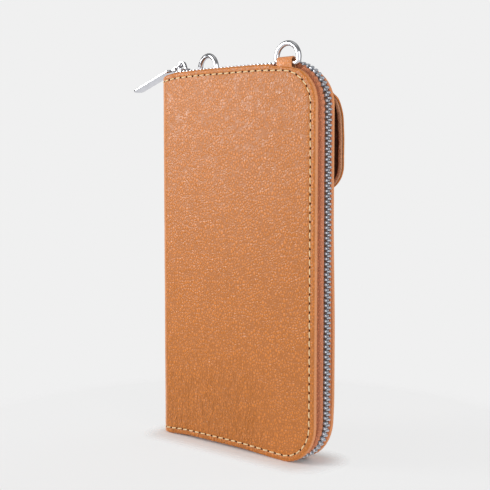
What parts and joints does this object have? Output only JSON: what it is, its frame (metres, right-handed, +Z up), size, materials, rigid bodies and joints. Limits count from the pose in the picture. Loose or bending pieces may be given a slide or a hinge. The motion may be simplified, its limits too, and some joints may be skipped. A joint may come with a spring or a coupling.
{
  "type": "zip around wallet",
  "caption": "Upright leather wallet with a metal zip round three sides, two D-rings on the top edge, and a phone pocket with a snap flap on the back.",
  "frame": {"origin": "centre of the footprint of the closed covers, at the height of the bottom edges that the wallet stands on", "axes": "+X from the spine to the zip, +Y from the front cover to the back, +Z up"},
  "size_m": [0.1345, 0.0265, 0.2058],
  "materials": {
    "hide": "pebbled caramel leather, satin",
    "band_hide": "matte caramel leather",
    "slot_hide": "thin smooth caramel leather",
    "lining": "plain woven lining",
    "tape": "woven zip tape",
    "board": "grey board",
    "metal": "bright nickel plate"
  },
  "bodies": {
    "back_half": {"back_cover": "hide", "back_board": "board", "back_lining": "lining", "back_zip_band": "band_hide", "back_zip_tape": "tape", "back_zip_teeth": "metal", "back_zip_stops": "metal", "back_ring_tab": "hide", "pocket_panel": "hide", "pocket_gusset": "band_hide", "flap_root": "hide", "snap_stud": "metal", "coin_pocket_panel": "slot_hide", "coin_pocket_bag": "lining", "coin_zip_tape": "tape", "coin_zip_teeth": "metal", "coin_zip_stops": "metal"},
    "spine": {"spine_cover": "hide", "spine_lining": "lining"},
    "front_half": {"front_cover": "hide", "front_board": "board", "front_lining": "lining", "front_zip_band": "band_hide", "front_zip_tape": "tape", "front_zip_teeth": "metal", "front_zip_stops": "metal", "front_ring_tab": "hide", "slip_pocket": "lining", "card_slot_1": "slot_hide", "card_slot_2": "slot_hide", "card_slot_3": "slot_hide", "card_slot_4": "slot_hide", "card_slot_5": "slot_hide", "card_slot_6": "slot_hide", "card_slot_7": "slot_hide", "card_slot_8": "slot_hide"},
    "slider": {"zip_slider": "metal"},
    "link": {"pull_link": "metal"},
    "pull": {"pull_blade": "metal"},
    "front_ring": {"front_ring": "metal"},
    "back_ring": {"back_ring": "metal"},
    "flap": {"flap_leather": "hide", "flap_lining": "lining", "snap_cap": "metal", "snap_socket": "metal"},
    "coin_slider": {"coin_zip_slider": "metal"},
    "coin_pull": {"coin_zip_pull": "metal"}
  },
  "joints": [
    {"name": "front_fold", "type": "hinge", "parent": "spine", "child": "front_half", "pos_m": [-0.0456, -0.0079, 0.0975], "axis": [0, 0, -1], "range_deg": [0, 85]},
    {"name": "spine_fold", "type": "hinge", "parent": "back_half", "child": "spine", "pos_m": [-0.0456, 0.0079, 0.0975], "axis": [0, 0, -1], "range_deg": [0, 85]},
    {"name": "slider_run", "type": "slide", "parent": "back_half", "child": "slider", "axis": [1, 0, 0], "range_m": [0, 0.056]},
    {"name": "link_swing", "type": "hinge", "parent": "slider", "child": "link", "pos_m": [-0.0425, 0, 0.1996], "axis": [0, 1, 0], "range_deg": [0, 90]},
    {"name": "pull_swing", "type": "hinge", "parent": "link", "child": "pull", "pos_m": [-0.04721, 0, 0.19793], "axis": [0, 1, 0], "range_deg": [0, 80]},
    {"name": "front_ring_tilt", "type": "hinge", "parent": "front_half", "child": "front_ring", "pos_m": [0.0338, -0.0054, 0.1955], "axis": [0.9945, 0, -0.1045], "range_deg": [-35, 52]},
    {"name": "back_ring_tilt", "type": "hinge", "parent": "back_half", "child": "back_ring", "pos_m": [-0.029, 0.0061, 0.1949], "axis": [-0.9903, 0.1392, 0], "range_deg": [-40, 40]},
    {"name": "flap_lift", "type": "hinge", "parent": "back_half", "child": "flap", "pos_m": [0.004, 0.00941, 0.18138], "axis": [1, 0, 0], "range_deg": [0, 120]},
    {"name": "coin_slider_run", "type": "slide", "parent": "back_half", "child": "coin_slider", "axis": [1, 0, 0], "range_m": [0, 0.064]},
    {"name": "coin_pull_swing", "type": "hinge", "parent": "coin_slider", "child": "coin_pull", "pos_m": [-0.032, 0.0021, 0.1628], "axis": [0, 1, 0], "range_deg": [-60, 60]}
  ],
  "couplings": [
    {"joint": "spine_fold", "follows": "front_fold", "ratio": 1},
    {"joint": "slider_run", "follows": "front_fold", "m_per_rad": 0.0377},
    {"joint": "link_swing", "follows": "front_fold", "ratio": 1.056}
  ]
}
